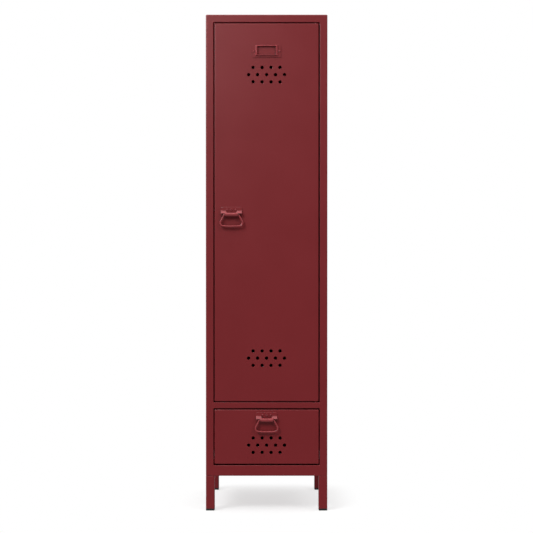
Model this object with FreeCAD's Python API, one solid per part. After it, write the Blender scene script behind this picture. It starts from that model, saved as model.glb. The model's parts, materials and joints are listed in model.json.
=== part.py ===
import FreeCAD, Part
import math
import os

os.makedirs("parts", exist_ok=True)
Vec = FreeCAD.Vector

# All lengths are millimetres. X runs to the right as seen from the front,
# Y runs to the back, Z runs up. The origin is under the middle of the locker
# at floor level.

# Overall sizes of the cabinet
WIDTH = 380.0
DEPTH = 400.0
HEIGHT = 1550.0
LEG_HEIGHT = 109.0

# Front frame: a welded channel around the door and the drawer
STILE = 24.0
TOP_RAIL = 24.2
MID_RAIL = 18.6
BOTTOM_RAIL = 33.0
DRAWER_OPENING = 178.2
FRAME_GAUGE = 1.0
FRAME_RETURN = 28.0
REVEAL = 23.0
STOP_LIP = 8.0
FRAME_BEND = 4.0
FRAME_TOP_BEND = 3.0
FRAME_BASE_BEND = 1.2
REVEAL_BEND = 1.8
OPENING_CORNER = 2.0

# Sheet panels
PANEL_GAUGE = 0.8
PANEL_BEND = 3.0
SIDE_FLANGE = 15.0
PAN_FLANGE = 15.0
TRAY_FLANGE = 12.0
LAP = 8.0
LAP_STEP = 1.0
SEAM = 0.4
FIT = 0.2

# Door and drawer front: folded pans that close flush with the frame
LEAF_DEPTH = 18.0
LEAF_BEND = 2.6
DOOR_GAP = 3.1
HINGE_GAP = 3.5
DOOR_LIP = 14.0
DRAWER_SIDE_GAP = 2.8
DRAWER_TOP_GAP = 3.8
DRAWER_BOTTOM_GAP = 4.0

# Pivot hinge of the door
PIVOT_INSET = 13.0
PIVOT_SETBACK = 7.0
PIN_R = 3.0
PIN_SHOULDER_R = 4.0
PIN_HEAD_R = 5.5
PIN_HEAD = 3.0
PIN_REACH = 14.0
PIN_TIP_BEVEL = 0.9
PIN_CLEARANCE = 0.05
SHOULDER_GAP = 0.3
HINGE_PLATE = 2.0
HINGE_PLATE_LENGTH = 44.0
HINGE_PLATE_WIDTH = 13.0

# Vent holes, in rows of four, five and four
VENT_R = 5.4
VENT_PITCH = 28.0
VENT_ROW = 22.5
VENT_ROWS = (4, 5, 4)
DOOR_VENT_DROP = 160.0
DOOR_VENT_RISE = 135.6
DRAWER_VENT_RISE = 59.2

# Card holder on the door
LABEL_DROP = 86.7
LABEL_WIDTH = 90.0
LABEL_HEIGHT = 40.0
LABEL_GAUGE = 1.2
LABEL_RING_WIDTH = 72.0
LABEL_RING_HEIGHT = 35.4
LABEL_RING_RISE = 2.1
LABEL_RING_PROUD = 4.7
LABEL_RING_BEVEL = 3.0
LABEL_WINDOW_WIDTH = 58.0
LABEL_WINDOW_HEIGHT = 27.0
LABEL_SLOT = 1.6
LABEL_SLOT_MARGIN = 4.0
LABEL_RIVET_SPAN = 80.0
RIVET_R = 1.6
RIVET_HEAD_R = 2.8
RIVET_HEAD = 1.7

# Bail handles
HANDLE_WIDTH = 66.0
HANDLE_RISE = 24.0
HANDLE_FALL = 3.0
HANDLE_GAUGE = 2.0
HANDLE_CORNER = 5.0
HANDLE_EDGE = 1.2
BARREL_R = 6.0
BARREL_LENGTH = 40.0
BARREL_EMBED = 0.9
EAR_WIDTH = 13.7
EAR_TOP = 15.0
EAR_PROUD = 9.5
EAR_GAUGE = 1.6
EAR_LIP = 0.8
EAR_CLEARANCE = 0.6
GUSSET_FOOT = 6.5
WIRE_R = 2.6
WIRE_CLEARANCE = 0.2
BAIL_DROP = 34.5
BAIL_BOW = 2.6
BAIL_SPREAD = 41.8
BAIL_NECK = 22.2
BAIL_NECK_BEND = 3.4
BAIL_CORNER_BEND = 10.5
BAIL_BOW_BEND = 250.0
HANDLE_SCREW_DROP = 8.5
HANDLE_RIVET_SPREAD = 12.5
DOOR_HANDLE_INSET = 52.9
DOOR_HANDLE_HEIGHT = 584.1
DRAWER_HANDLE_DROP = 32.2

# Legs and foot caps
LEG_SIZE = 27.2
LEG_WALL = 1.2
LEG_CORNER = 3.0
LEG_TOP_EDGE = 1.6
LEG_CAP = 10.0
FOOT_HEIGHT = 6.5
FOOT_EDGE = 2.2
FOOT_PLUG = 16.0
LEG_BOLT_R = 4.0
LEG_BOLT_HEAD_R = 6.5
LEG_BOLT_HEAD = 5.3
LEG_BOLT_REACH = 9.0

# Hat shelf with the hanging rail under it
SHELF_DROP = 310.8
SHELF_SETBACK = 42.0
SHELF_SIDE_GAP = 0.5
CLIP_HEIGHT = 25.0
CLIP_WIDTH = 24.0
CLIP_GAUGE = 1.5
CLIP_TAB = 16.0
CLIP_INSET = 40.0
RAIL_R = 10.0
RAIL_WALL = 1.2
RAIL_DROP = 48.0
RAIL_END = 10.0
HANGER_INSET = 40.0
HANGER_GAUGE = 2.0
HANGER_WIDTH = 34.0
HANGER_FLANGE = 22.0
HANGER_SCREW_SPREAD = 18.0

# Door stiffener, catch and bumpers
STIFFENER_WIDTH = 64.0
STIFFENER_CROWN = 40.0
STIFFENER_DEPTH = 14.0
STIFFENER_END_GAP = 6.0
CATCH_WIDTH = 14.0
CATCH_HEIGHT = 46.0
CATCH_DEPTH = 14.0
CATCH_FLANGE = 7.0
CATCH_FLANGE_GAUGE = 3.0
CATCH_SCREW_SPAN = 30.0
CATCH_SCREW_R = 1.6
CATCH_SCREW_HEAD_R = 3.2
MAGNET_THICK = 5.2
MAGNET_HEIGHT = 36.0
MAGNET_DEPTH = 10.0
POLE_GAUGE = 1.5
POLE_PROUD = 0.8
STRIKE_GAUGE = 1.0
STRIKE_WIDTH = 17.0
STRIKE_HEIGHT = 44.0
STRIKE_EDGE = 1.5
STRIKE_AIR = 0.3
BUMPER_R = 3.4
BUMPER_AIR = 0.3
BUMPER_INSET = 60.0
BUMPER_ROUND = 1.0

# Drawer box on roller runners
SLIDE_SPACE = 12.5
RUNNER_RISE = 15.0
RUNNER_GAUGE = 1.2
RUNNER_INSIDE = 26.0
RUNNER_FLANGE = 11.0
RUNNER_REAR_GAP = 22.6
LIP_HEIGHT = 22.0
LIP_REACH = 10.3
CARRIER_WEB_LOW = 3.0
CARRIER_WEB_HIGH = 44.0
CARRIER_END_GAP = 4.0
CABINET_ROLLER_R = 10.7
DRAWER_ROLLER_R = 10.5
ROLLER_WIDTH = 6.4
ROLL_AIR = 0.2
ROLLER_RECESS_R = 7.5
ROLLER_RECESS = 0.8
AXLE_R = 3.0
AXLE_CLEARANCE = 0.05
AXLE_HEAD_R = 5.0
AXLE_HEAD = 1.1
AXLE_PLAY = 0.15
FRONT_ROLLER_INSET = 16.0
REAR_ROLLER_INSET = 17.0
SUPPORT_HEIGHT = 44.0
SUPPORT_GAUGE = 1.2
DRAWER_REAR_GAP = 26.2
DRAWER_SIDE_HEIGHT = 112.0
DRAWER_FLOOR_RISE = 16.0
DRAWER_FLANGE = 10.0
BOX_BEND = 1.8

# Small fasteners
SCREW_R = 2.0
SCREW_HEAD_R = 4.0
SCREW_HEAD = 1.8
SCREW_LENGTH = 10.0
HEAD_ROUND = 0.7
SCREW_SLOT = 1.0
SCREW_SLOT_REACH = 0.55
SCREW_SLOT_DEPTH = 0.9
SCREW_HOLE_AIR = 0.2
BACK_SCREWS_PER_SIDE = 6
BACK_SCREW_END = 36.0
TOP_SCREW_SPREAD = 110.0
TOP_SCREW_DROP = 8.5
WALL_HOLE_R = 3.5
WALL_HOLE_SPAN = 200.0
WALL_HOLE_DROP = 70.0

# Spare length of cutting shapes, and the tolerance of finding edges by place and direction
OVERCUT = 2.0
TOUCH = 1e-4

# Places that follow from the sizes above
BARREL_STANDOFF = HANDLE_GAUGE + BARREL_R - BARREL_EMBED
HANDLE_PROJECTION = BARREL_STANDOFF + BARREL_R
FRONT = (HANDLE_PROJECTION - DEPTH - SCREW_HEAD) / 2.0
REAR = FRONT + DEPTH
HALF_W = WIDTH / 2.0
BASE = LEG_HEIGHT
OPEN_X = HALF_W - STILE
DRAWER_OPEN_LOW = BASE + BOTTOM_RAIL
DRAWER_OPEN_TOP = DRAWER_OPEN_LOW + DRAWER_OPENING
DOOR_OPEN_LOW = DRAWER_OPEN_TOP + MID_RAIL
DOOR_OPEN_TOP = HEIGHT - TOP_RAIL
FRAME_BACK = FRONT + FRAME_RETURN
PANEL_START = FRAME_BACK + SEAM
INSIDE_START = PANEL_START + LAP_STEP + FIT
INSIDE_X = HALF_W - PANEL_GAUGE - FIT
BACK_SHEET_REAR = REAR - PANEL_GAUGE
BACK_SHEET_FRONT = BACK_SHEET_REAR - PANEL_GAUGE
INSIDE_REAR = BACK_SHEET_FRONT - FIT
BACK_SCREW_X = HALF_W - SIDE_FLANGE / 2.0

DOOR_LEFT = -OPEN_X + DOOR_GAP
DOOR_RIGHT = OPEN_X - HINGE_GAP
DOOR_LOW = DOOR_OPEN_LOW + DOOR_GAP
DOOR_TOP = DOOR_OPEN_TOP - DOOR_GAP
DOOR_MIDDLE = (DOOR_LEFT + DOOR_RIGHT) / 2.0
LEAF_BACK = FRONT + LEAF_DEPTH
PIVOT_X = OPEN_X - PIVOT_INSET
PIVOT_Y = FRONT + PIVOT_SETBACK
DRAWER_HALF = OPEN_X - DRAWER_SIDE_GAP
DRAWER_LOW = DRAWER_OPEN_LOW + DRAWER_BOTTOM_GAP
DRAWER_TOP = DRAWER_OPEN_TOP - DRAWER_TOP_GAP

LABEL_Z = DOOR_TOP - LABEL_DROP
DOOR_HANDLE_X = DOOR_LEFT + DOOR_HANDLE_INSET
DOOR_HANDLE_Z = DOOR_LOW + DOOR_HANDLE_HEIGHT
DRAWER_HANDLE_X = 0.0
DRAWER_HANDLE_Z = DRAWER_TOP - DRAWER_HANDLE_DROP
DOOR_VENT_ZS = (DOOR_TOP - DOOR_VENT_DROP, DOOR_LOW + DOOR_VENT_RISE)
DRAWER_VENT_ZS = (DRAWER_LOW + DRAWER_VENT_RISE,)

SHELF_TOP = DOOR_OPEN_TOP - SHELF_DROP
SHELF_UNDER = SHELF_TOP - PANEL_GAUGE
SHELF_RIM = SHELF_TOP - PAN_FLANGE
SHELF_FRONT = FRONT + SHELF_SETBACK
RAIL_SPAN = WIDTH - 2.0 * HANGER_INSET
RAIL_Y = (SHELF_FRONT + INSIDE_REAR) / 2.0
RAIL_Z = SHELF_TOP - RAIL_DROP

CATCH_Z = DOOR_HANDLE_Z
LIP_EDGE = -(OPEN_X - STOP_LIP)
STRIKE_BACK = LEAF_BACK + STRIKE_GAUGE
POLE_FRONT = STRIKE_BACK + STRIKE_AIR
CATCH_FRONT = POLE_FRONT + POLE_PROUD
CATCH_LEFT = LIP_EDGE + FIT
LIP_BACK = FRONT + REVEAL
LIP_FRONT = LIP_BACK - FRAME_GAUGE

DRAWER_BOX_X = OPEN_X - SLIDE_SPACE
RUNNER_LOW = DRAWER_OPEN_LOW + RUNNER_RISE
TRACK = RUNNER_LOW + RUNNER_GAUGE
RUNNER_START = INSIDE_START
RUNNER_END = INSIDE_REAR - RUNNER_REAR_GAP
LIP_UNDER = TRACK + LIP_HEIGHT
CABINET_AXLE_Z = LIP_UNDER - ROLL_AIR - CABINET_ROLLER_R
DRAWER_AXLE_Z = TRACK + ROLL_AIR + DRAWER_ROLLER_R
CABINET_AXLE_Y = RUNNER_START + FRONT_ROLLER_INSET
DRAWER_BOX_FRONT = FRONT + PANEL_GAUGE
DRAWER_BOX_REAR = INSIDE_REAR - DRAWER_REAR_GAP
DRAWER_AXLE_Y = DRAWER_BOX_REAR - REAR_ROLLER_INSET
DRAWER_FLOOR = DRAWER_OPEN_LOW + DRAWER_FLOOR_RISE
DRAWER_SIDE_TOP = DRAWER_FLOOR + DRAWER_SIDE_HEIGHT

LEFT = -1
RIGHT = 1


def block(xs, ys, zs):
    """A plain box between two values on each axis, given in any order."""
    corner = Vec(min(xs), min(ys), min(zs))
    size = [max(pair) - min(pair) for pair in (xs, ys, zs)]
    return Part.makeBox(size[0], size[1], size[2], corner)


def join(solids):
    return solids[0].multiFuse(solids[1:]).removeSplitter()


def walls_at(point, planes):
    """Names of the planes that a point lies on."""
    return {name for name, (axis, value) in planes.items() if abs(point[axis] - value) < TOUCH}


def runs_along(edge, axis):
    return abs(abs(edge.tangentAt(edge.FirstParameter).dot(axis)) - 1.0) < TOUCH


def is_circle(edge):
    return edge.Curve.TypeId == "Part::GeomCircle"


def sheet_bends(solid, xs, ys, zs, walls):
    """Edges of a box along which two of its named walls meet."""
    planes = {"-x": (0, min(xs)), "+x": (0, max(xs)), "-y": (1, min(ys))}
    planes.update({"+y": (1, max(ys)), "-z": (2, min(zs)), "+z": (2, max(zs))})
    bends = []
    for edge in solid.Edges:
        shared = walls_at(edge.Vertexes[0].Point, planes) & walls_at(edge.Vertexes[1].Point, planes)
        if shared <= set(walls):
            bends.append(edge)
    return bends


def folded_box(xs, ys, zs, walls, gauge, bend):
    """Sheet folded into the named walls of a box, the other sides left open."""
    outer = block(xs, ys, zs)
    outer = outer.makeFillet(bend, sheet_bends(outer, xs, ys, zs, walls))
    room = []
    for pair, low_wall, high_wall in ((xs, "-x", "+x"), (ys, "-y", "+y"), (zs, "-z", "+z")):
        low = min(pair) + gauge if low_wall in walls else min(pair) - OVERCUT
        high = max(pair) - gauge if high_wall in walls else max(pair) + OVERCUT
        room.append((low, high))
    inner = block(*room)
    inner = inner.makeFillet(bend - gauge, sheet_bends(inner, room[0], room[1], room[2], walls))
    return outer.cut(inner)


def rounded_prism(xs, ys, zs, radius):
    """A box with its four edges along Y rounded."""
    prism = block(xs, ys, zs)
    return prism.makeFillet(radius, [e for e in prism.Edges if runs_along(e, Vec(0, 1, 0))])


def rounded_post(xs, ys, zs, radius):
    """A box with its four upright edges rounded."""
    post = block(xs, ys, zs)
    return post.makeFillet(radius, [e for e in post.Edges if runs_along(e, Vec(0, 0, 1))])


def grown(pair, amount):
    return (min(pair) - amount, max(pair) + amount)


def bolt_shape(radius, length, head_radius, head_height, hexagonal=False, recess=True):
    """A fastener along Z: head above zero, shank below it."""
    shank = Part.makeCylinder(radius, length + head_height / 2.0, Vec(0, 0, -length))
    if hexagonal:
        corners = [Vec(head_radius * math.cos(math.radians(60 * i)),
                       head_radius * math.sin(math.radians(60 * i)), 0) for i in range(7)]
        head = Part.Face(Part.makePolygon(corners)).extrude(Vec(0, 0, head_height))
        return shank.fuse(head).removeSplitter()
    head = Part.makeCylinder(head_radius, head_height)
    rim = [e for e in head.Edges if is_circle(e) and e.CenterOfMass.z > head_height / 2.0]
    head = head.makeFillet(head_height * HEAD_ROUND, rim)
    shape = shank.fuse(head).removeSplitter()
    if recess:
        arm = head_radius * SCREW_SLOT_REACH
        slot = SCREW_SLOT / 2.0
        depth = (head_height - SCREW_SLOT_DEPTH, head_height + OVERCUT)
        shape = shape.cut(block((-arm, arm), (-slot, slot), depth))
        shape = shape.cut(block((-slot, slot), (-arm, arm), depth))
    return shape


def placed(shape, position, direction):
    """A copy of a shape drawn along Z, set at a position and turned to a direction."""
    copy = shape.copy()
    copy.Placement = FreeCAD.Placement(position, FreeCAD.Rotation(Vec(0, 0, 1), direction))
    return copy


def screw_at(position, direction):
    return placed(bolt_shape(SCREW_R, SCREW_LENGTH, SCREW_HEAD_R, SCREW_HEAD), position, direction)


def drill(shape, radius, position, direction, depth):
    start = position - direction * depth
    return shape.cut(Part.makeCylinder(radius, 2.0 * depth, start, direction))


def vents(middle_x, middle_z):
    """Cutting pins for one staggered group of vent holes."""
    pins = []
    for row, count in enumerate(VENT_ROWS):
        z = middle_z + (1 - row) * VENT_ROW
        for i in range(count):
            x = middle_x + (i - (count - 1) / 2.0) * VENT_PITCH
            start = Vec(x, FRONT - OVERCUT, z)
            pins.append(Part.makeCylinder(VENT_R, 2.0 * OVERCUT, start, Vec(0, 1, 0)))
    return Part.makeCompound(pins)


def handle_fixings(x, z):
    """The middle screw and the two small rivets of a handle plate: place and shank radius."""
    height = z + HANDLE_RISE - HANDLE_SCREW_DROP
    face = FRONT - HANDLE_GAUGE
    return [(Vec(x, face, height), SCREW_R),
            (Vec(x - HANDLE_RIVET_SPREAD, face, height), RIVET_R),
            (Vec(x + HANDLE_RIVET_SPREAD, face, height), RIVET_R)]


def label_rivet_places():
    half = LABEL_RIVET_SPAN / 2.0
    return [Vec(DOOR_MIDDLE + side * half, FRONT - LABEL_GAUGE, LABEL_Z) for side in (LEFT, RIGHT)]


def back_screw_places():
    """Screws through the rear flanges of the side panels and of the top panel."""
    low = BASE + BACK_SCREW_END
    step = (HEIGHT - BACK_SCREW_END - low) / (BACK_SCREWS_PER_SIDE - 1)
    places = []
    for side in (LEFT, RIGHT):
        for i in range(BACK_SCREWS_PER_SIDE):
            places.append(Vec(side * BACK_SCREW_X, REAR, low + i * step))
    for x in (-TOP_SCREW_SPREAD, 0.0, TOP_SCREW_SPREAD):
        places.append(Vec(x, REAR, HEIGHT - TOP_SCREW_DROP))
    return places


def leg_centre(side, rear):
    y = REAR - LEG_SIZE / 2.0 if rear else FRONT + LEG_SIZE / 2.0
    return Vec(side * (HALF_W - LEG_SIZE / 2.0), y, BASE)


def leg_centres():
    return [leg_centre(side, rear) for rear in (False, True) for side in (LEFT, RIGHT)]


def drill_leg_bolts(shape):
    radius = LEG_BOLT_R + SCREW_HOLE_AIR
    for centre in leg_centres():
        shape = drill(shape, radius, centre, Vec(0, 0, 1), FRAME_GAUGE + OVERCUT)
    return shape


def drill_back_screws(shape):
    for place in back_screw_places():
        shape = drill(shape, SCREW_R + SCREW_HOLE_AIR, place, Vec(0, 1, 0), SCREW_LENGTH)
    return shape


def catch_screw_places():
    x = LIP_EDGE - CATCH_FLANGE / 2.0
    return [Vec(x, LIP_FRONT, CATCH_Z + half * CATCH_SCREW_SPAN) for half in (-0.5, 0.5)]


def hanger_screw_places(side):
    x = side * (RAIL_SPAN / 2.0 - HANGER_FLANGE / 2.0)
    return [Vec(x, RAIL_Y + half * HANGER_SCREW_SPREAD, SHELF_TOP) for half in (-0.5, 0.5)]


def frame_blank(inset):
    """The solid outside of the front frame, or the room inside its sheet."""
    front = FRONT + inset
    back = FRAME_BACK + (OVERCUT if inset else 0.0)
    xs = grown((-HALF_W, HALF_W), -inset)
    zs = (BASE + inset, HEIGHT - inset)
    body = block(xs, (front, back), zs)
    upright = [e for e in body.Edges if runs_along(e, Vec(0, 0, 1)) and e.CenterOfMass.y < front + TOUCH]
    body = body.makeFillet(FRAME_BEND - inset, upright)
    ahead = [e for e in body.Edges if e.CenterOfMass.y < back - TOUCH]
    body = body.makeFillet(FRAME_TOP_BEND - inset, [e for e in ahead if e.BoundBox.ZMin > zs[1] - TOUCH])
    ahead = [e for e in body.Edges if e.CenterOfMass.y < back - TOUCH]
    return body.makeFillet(FRAME_BASE_BEND - inset, [e for e in ahead if e.BoundBox.ZMax < zs[0] + TOUCH])


def front_frame():
    frame = frame_blank(0.0).cut(frame_blank(FRAME_GAUGE))
    door_hole = ((-OPEN_X, OPEN_X), (DOOR_OPEN_LOW, DOOR_OPEN_TOP))
    drawer_hole = ((-OPEN_X, OPEN_X), (DRAWER_OPEN_LOW, DRAWER_OPEN_TOP))
    through = (FRONT - OVERCUT, FRAME_BACK + OVERCUT)
    sleeve = (FRONT, LIP_BACK)
    pieces = []
    for xs, zs in (door_hole, drawer_hole):
        hole = rounded_prism(xs, through, zs, OPENING_CORNER)
        frame = frame.cut(hole)
        ring_corner = OPENING_CORNER + FRAME_GAUGE
        ring = rounded_prism(grown(xs, FRAME_GAUGE), sleeve, grown(zs, FRAME_GAUGE), ring_corner)
        pieces.append(ring.cut(hole))
    xs, zs = door_hole
    stop = rounded_prism(xs, (LIP_FRONT, LIP_BACK), zs, OPENING_CORNER)
    pieces.append(stop.cut(block(grown(xs, -STOP_LIP), through, grown(zs, -STOP_LIP))))
    frame = join([frame] + pieces)
    reveal = [e for e in frame.Edges if e.BoundBox.YMax < FRONT + TOUCH
              and max(abs(e.BoundBox.XMin), abs(e.BoundBox.XMax)) < OPEN_X + TOUCH]
    frame = frame.makeFillet(REVEAL_BEND, reveal)
    reach = FRAME_GAUGE + OVERCUT
    for z in (DOOR_OPEN_LOW, DOOR_OPEN_TOP):
        frame = drill(frame, PIN_R + SCREW_HOLE_AIR, Vec(PIVOT_X, PIVOT_Y, z), Vec(0, 0, 1), reach)
    for place in catch_screw_places():
        frame = drill(frame, CATCH_SCREW_R + SCREW_HOLE_AIR, place, Vec(0, 1, 0), reach)
    return drill_leg_bolts(frame)


def side_panel(side):
    outside = "-x" if side == LEFT else "+x"
    panel = folded_box((side * HALF_W, side * (HALF_W - SIDE_FLANGE)), (PANEL_START, REAR),
                       (BASE, HEIGHT - PANEL_GAUGE), (outside, "+y", "-z", "+z"), PANEL_GAUGE, PANEL_BEND)
    lap_face = HALF_W - FRAME_GAUGE
    lap_zs = (BASE + LAP, HEIGHT - LAP)
    lap = block((side * lap_face, side * (lap_face - PANEL_GAUGE)),
                (FRAME_BACK - LAP, PANEL_START + LAP_STEP), lap_zs)
    step = block((side * HALF_W, side * (lap_face - PANEL_GAUGE)),
                 (PANEL_START, PANEL_START + LAP_STEP), lap_zs)
    panel = join([panel, lap, step])
    return drill_back_screws(drill_leg_bolts(panel))


def top_panel():
    sheet_zs = (HEIGHT - PANEL_GAUGE, HEIGHT)
    sheet = block(grown((-HALF_W, HALF_W), -PANEL_BEND), (PANEL_START, REAR - PANEL_BEND), sheet_zs)
    tongue_xs = grown((-HALF_W, HALF_W), -(SIDE_FLANGE + SEAM))
    tongue = folded_box(tongue_xs, (REAR - 2.0 * PAN_FLANGE, REAR), (HEIGHT - PAN_FLANGE, HEIGHT),
                        ("+y", "+z"), PANEL_GAUGE, PANEL_BEND)
    lap_face = HEIGHT - FRAME_GAUGE
    lap = block(tongue_xs, (FRAME_BACK - LAP, PANEL_START + LAP_STEP), (lap_face - PANEL_GAUGE, lap_face))
    step = block(tongue_xs, (PANEL_START, PANEL_START + LAP_STEP), (lap_face - PANEL_GAUGE, HEIGHT))
    return drill_back_screws(join([sheet, tongue, lap, step]))


def bottom_panel():
    floor = BASE + FRAME_GAUGE
    tray = folded_box((-INSIDE_X, INSIDE_X), (INSIDE_START, INSIDE_REAR), (floor, floor + TRAY_FLANGE),
                      ("-z", "-x", "+x", "+y"), PANEL_GAUGE, PANEL_BEND)
    tongue_ys = (FRONT + FRAME_BEND + SEAM, INSIDE_START + LAP)
    tongue = block(grown((-INSIDE_X, INSIDE_X), -PANEL_BEND), tongue_ys, (floor, floor + PANEL_GAUGE))
    return drill_leg_bolts(join([tray, tongue]))


def back_panel():
    xs = grown((-HALF_W, HALF_W), -(PANEL_BEND + SEAM))
    zs = (BASE + PANEL_BEND + SEAM, HEIGHT - PANEL_GAUGE - PANEL_BEND - SEAM)
    sheet = drill_back_screws(block(xs, (BACK_SHEET_FRONT, BACK_SHEET_REAR), zs))
    for side in (LEFT, RIGHT):
        place = Vec(side * WALL_HOLE_SPAN / 2.0, BACK_SHEET_REAR, HEIGHT - WALL_HOLE_DROP)
        sheet = drill(sheet, WALL_HOLE_R, place, Vec(0, 1, 0), OVERCUT)
    return sheet


def locker_floor():
    zs = (DOOR_OPEN_LOW - PAN_FLANGE, DOOR_OPEN_LOW)
    pan = folded_box((-INSIDE_X, INSIDE_X), (INSIDE_START, INSIDE_REAR), zs,
                     ("+z", "-x", "+x", "-y", "+y"), PANEL_GAUGE, PANEL_BEND)
    tongue_zs = (DOOR_OPEN_LOW - PANEL_GAUGE, DOOR_OPEN_LOW)
    tongue = block((-OPEN_X, OPEN_X), (LIP_BACK, INSIDE_START + LAP), tongue_zs)
    return join([pan, tongue])


def hat_shelf():
    half = HALF_W - PANEL_GAUGE - SHELF_SIDE_GAP
    shelf = folded_box((-half, half), (SHELF_FRONT, INSIDE_REAR), (SHELF_RIM, SHELF_TOP),
                       ("+z", "-x", "+x", "-y", "+y"), PANEL_GAUGE, PANEL_BEND)
    for side in (LEFT, RIGHT):
        for place in hanger_screw_places(side):
            shelf = drill(shelf, SCREW_R + SCREW_HOLE_AIR, place, Vec(0, 0, 1), OVERCUT)
    return shelf


def shelf_clips():
    wall = HALF_W - PANEL_GAUGE
    clips = []
    for side in (LEFT, RIGHT):
        for y in (SHELF_FRONT + CLIP_INSET, INSIDE_REAR - CLIP_INSET):
            ys = grown((y, y), CLIP_WIDTH / 2.0)
            leg = block((side * wall, side * (wall - CLIP_GAUGE)), ys, (SHELF_RIM - CLIP_HEIGHT, SHELF_RIM))
            tab = block((side * wall, side * (wall - CLIP_TAB)), ys, (SHELF_RIM - CLIP_GAUGE, SHELF_RIM))
            clips.append(join([leg, tab]))
    return Part.makeCompound(clips)


def hanging_rail():
    length = RAIL_SPAN + 2.0 * RAIL_END
    start = Vec(-length / 2.0, RAIL_Y, RAIL_Z)
    tube = Part.makeCylinder(RAIL_R, length, start, Vec(1, 0, 0))
    return tube.cut(Part.makeCylinder(RAIL_R - RAIL_WALL, length, start, Vec(1, 0, 0)))


def rail_hanger(side):
    """A plate under the shelf, with a hole for the rail and a flange for two screws."""
    ys = grown((RAIL_Y, RAIL_Y), HANGER_WIDTH / 2.0)
    outer = side * RAIL_SPAN / 2.0
    plate = block((outer, outer - side * HANGER_GAUGE), ys, (RAIL_Z, SHELF_UNDER))
    flange = block((outer, outer - side * HANGER_FLANGE), ys, (SHELF_UNDER - HANGER_GAUGE, SHELF_UNDER))
    eye_start = Vec(min(outer, outer - side * HANGER_GAUGE), RAIL_Y, RAIL_Z)
    eye = Part.makeCylinder(HANGER_WIDTH / 2.0, HANGER_GAUGE, eye_start, Vec(1, 0, 0))
    hanger = join([plate, flange, eye])
    hanger = drill(hanger, RAIL_R + FIT, eye_start, Vec(1, 0, 0), HANGER_GAUGE + OVERCUT)
    for place in hanger_screw_places(side):
        hanger = drill(hanger, SCREW_R + SCREW_HOLE_AIR, place, Vec(0, 0, 1), HANGER_GAUGE + OVERCUT)
    return hanger


def rail_hanger_screws():
    places = hanger_screw_places(LEFT) + hanger_screw_places(RIGHT)
    return Part.makeCompound([screw_at(place, Vec(0, 0, 1)) for place in places])


def leg(side, rear):
    centre = leg_centre(side, rear)
    half = LEG_SIZE / 2.0
    xs = grown((centre.x, centre.x), half)
    ys = grown((centre.y, centre.y), half)
    tube = rounded_post(xs, ys, (FOOT_HEIGHT, BASE), LEG_CORNER)
    tube = tube.makeFillet(LEG_TOP_EDGE, [e for e in tube.Edges if e.BoundBox.ZMin > BASE - TOUCH])
    bore = rounded_post(grown(xs, -LEG_WALL), grown(ys, -LEG_WALL),
                        (FOOT_HEIGHT - OVERCUT, BASE - LEG_CAP), LEG_CORNER - LEG_WALL)
    return drill(tube.cut(bore), LEG_BOLT_R + SCREW_HOLE_AIR, centre, Vec(0, 0, 1), LEG_CAP)


def foot(side, rear):
    """A cap under the leg with a plug that pushes into the tube."""
    centre = leg_centre(side, rear)
    half = LEG_SIZE / 2.0
    middle_xs = (centre.x, centre.x)
    middle_ys = (centre.y, centre.y)
    sole = rounded_post(grown(middle_xs, half), grown(middle_ys, half), (0.0, FOOT_HEIGHT), LEG_CORNER)
    sole = sole.makeFillet(FOOT_EDGE, [e for e in sole.Edges if e.BoundBox.ZMax < TOUCH])
    room = half - LEG_WALL - FIT
    plug = rounded_post(grown(middle_xs, room), grown(middle_ys, room),
                        (FOOT_HEIGHT - FOOT_EDGE, FOOT_HEIGHT + FOOT_PLUG), LEG_CORNER - LEG_WALL)
    return join([sole, plug])


def leg_bolts():
    """Bolts from inside the cabinet down into the head of each leg."""
    seat = BASE + FRAME_GAUGE + PANEL_GAUGE
    length = LEG_BOLT_REACH + seat - BASE
    bolt = bolt_shape(LEG_BOLT_R, length, LEG_BOLT_HEAD_R, LEG_BOLT_HEAD, hexagonal=True)
    return Part.makeCompound([placed(bolt, Vec(c.x, c.y, seat), Vec(0, 0, 1)) for c in leg_centres()])


def back_panel_screws():
    return Part.makeCompound([screw_at(place, Vec(0, 1, 0)) for place in back_screw_places()])


def hinge_pin(low):
    """A riveted pin with a shoulder that fills the gap between frame and door."""
    frame_edge = DOOR_OPEN_LOW if low else DOOR_OPEN_TOP
    way = 1.0 if low else -1.0
    toward = Vec(0, 0, way)
    shoulder = DOOR_GAP - SHOULDER_GAP
    seat = Vec(PIVOT_X, PIVOT_Y, frame_edge)
    length = FRAME_GAUGE + DOOR_GAP + PIN_REACH
    spigot = Part.makeCylinder(PIN_R, length, seat - toward * FRAME_GAUGE, toward)
    tip = [e for e in spigot.Edges if is_circle(e) and (e.CenterOfMass - seat).dot(toward) > DOOR_GAP]
    spigot = spigot.makeChamfer(PIN_TIP_BEVEL, tip)
    collar = Part.makeCylinder(PIN_SHOULDER_R, shoulder, seat, toward)
    head = Part.makeCylinder(PIN_HEAD_R, PIN_HEAD, seat - toward * (FRAME_GAUGE + PIN_HEAD), toward)
    return join([spigot, collar, head])


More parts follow.
